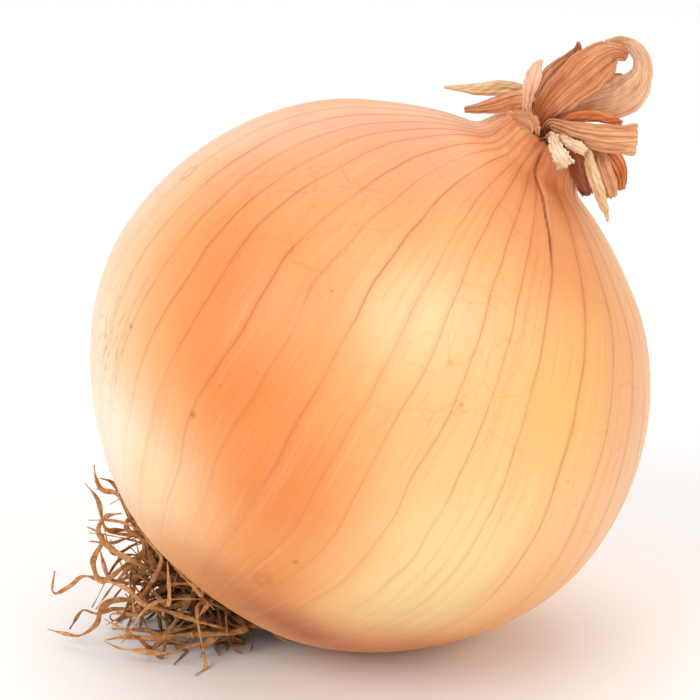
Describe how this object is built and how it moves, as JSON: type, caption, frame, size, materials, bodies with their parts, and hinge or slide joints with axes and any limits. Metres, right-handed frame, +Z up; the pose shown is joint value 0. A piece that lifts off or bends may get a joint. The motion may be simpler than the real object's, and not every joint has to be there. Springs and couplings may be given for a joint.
{
  "type": "onion",
  "caption": "Whole dry-skinned yellow onion lying on its side, with papery dried neck leaves and a dry root tuft.",
  "frame": {"origin": "middle of the small flat spot under the bulb that it rests on", "axes": "+Z up from the resting surface; the neck leans towards +X, 35 degrees from upright, and the roots lie towards -X; Y is across, the bulb's axis lies in the XZ plane"},
  "size_m": [0.0913, 0.086, 0.0918],
  "materials": {
    "onion_skin": "thin dry golden skin, satin, with darker veins",
    "brown_leaf_skin": "dry ribbed red-brown leaf",
    "dark_leaf": "dry dark brown leaf",
    "pale_leaf": "dry pale tan leaf",
    "dry_root": "dry fibrous brown root"
  },
  "bodies": {
    "root": {"bulb": "onion_skin", "broad_leaf": "brown_leaf_skin", "shadow_leaf": "dark_leaf", "curled_leaf": "pale_leaf", "inner_leaf": "dark_leaf", "cut_leaf": "brown_leaf_skin", "folded_leaf": "dark_leaf", "hanging_leaf": "brown_leaf_skin", "side_leaf": "brown_leaf_skin", "brown_leaf": "dark_leaf", "long_tip": "pale_leaf", "pale_strip": "pale_leaf", "left_sheath": "brown_leaf_skin", "torn_flake": "pale_leaf", "cream_flake": "pale_leaf", "cream_shred": "pale_leaf", "dangling_strip": "brown_leaf_skin", "rear_leaf": "brown_leaf_skin", "rear_sheath": "brown_leaf_skin", "root_01": "dry_root", "root_02": "dry_root", "root_03": "dry_root", "root_04": "dry_root", "root_05": "dry_root", "root_06": "dry_root", "root_07": "dry_root", "root_08": "dry_root", "root_09": "dry_root", "root_10": "dry_root", "root_11": "dry_root", "root_12": "dry_root", "root_13": "dry_root", "root_14": "dry_root", "root_15": "dry_root", "root_16": "dry_root", "root_17": "dry_root", "root_18": "dry_root", "root_19": "dry_root", "root_20": "dry_root", "root_21": "dry_root", "root_22": "dry_root", "root_23": "dry_root", "root_24": "dry_root", "root_25": "dry_root", "root_26": "dry_root", "root_27": "dry_root", "root_28": "dry_root", "root_29": "dry_root", "root_30": "dry_root", "root_31": "dry_root", "root_32": "dry_root", "root_33": "dry_root", "root_34": "dry_root", "root_35": "dry_root", "root_36": "dry_root", "root_37": "dry_root", "root_38": "dry_root", "root_39": "dry_root", "root_40": "dry_root"}
  },
  "joints": []
}
